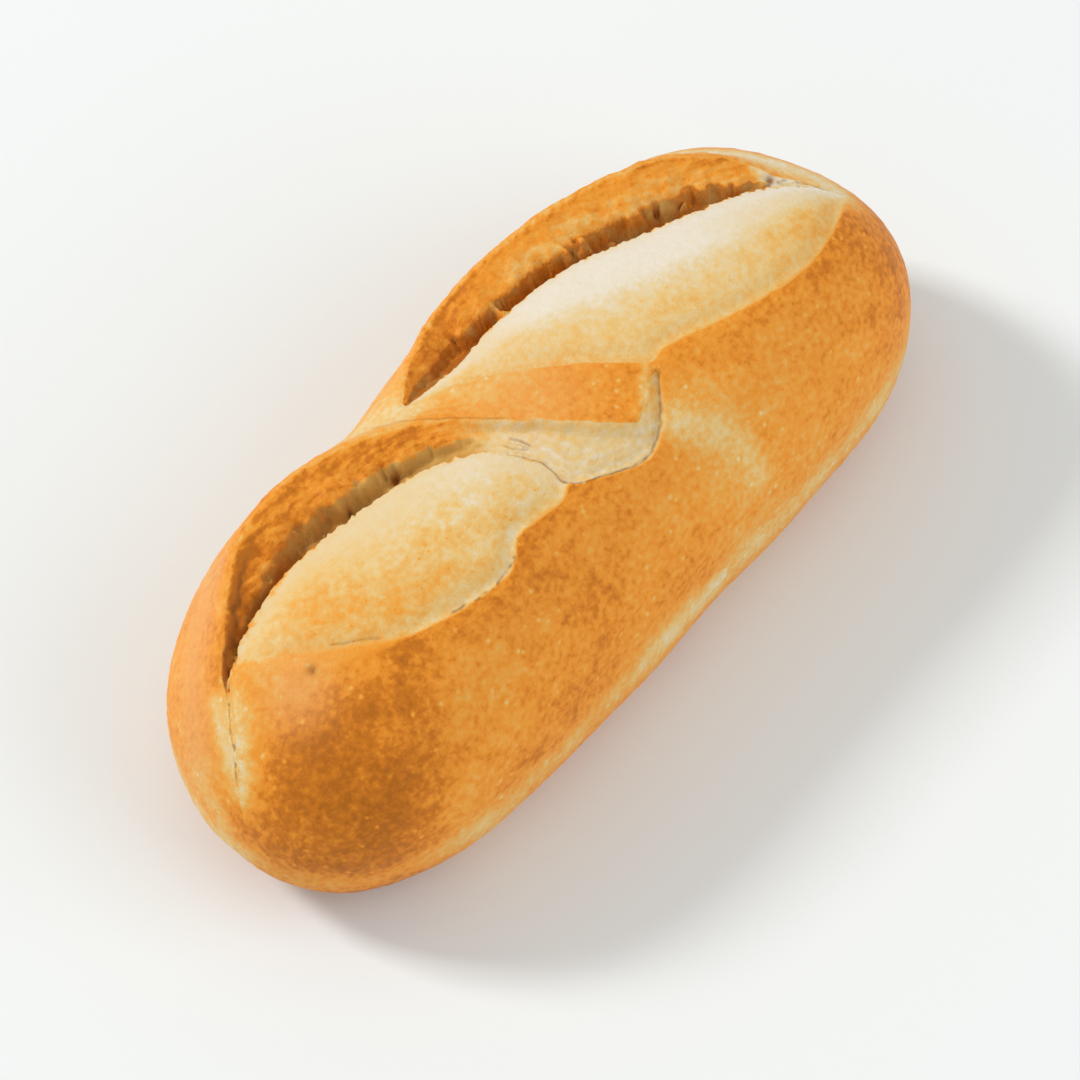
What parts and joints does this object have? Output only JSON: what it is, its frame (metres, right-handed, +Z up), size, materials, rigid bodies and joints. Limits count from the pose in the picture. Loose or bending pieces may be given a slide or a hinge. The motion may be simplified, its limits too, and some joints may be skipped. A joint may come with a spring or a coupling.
{
  "type": "bread roll",
  "caption": "Oval crusty white bread roll with slanting slashes opened into curled ears and pale swollen tongues, resting on a flat underside.",
  "frame": {"origin": "middle of the underside, on the plane that the roll rests on", "axes": "+X along the roll towards the end with the slash that lies behind the other, +Y towards the side where the slashes' raised ears are, +Z up"},
  "size_m": [0.1699, 0.07, 0.0514],
  "materials": {
    "crust": "matt baked crust, golden brown, paler on the opened crumb"
  },
  "bodies": {
    "root": {"bread": "crust"}
  },
  "joints": []
}
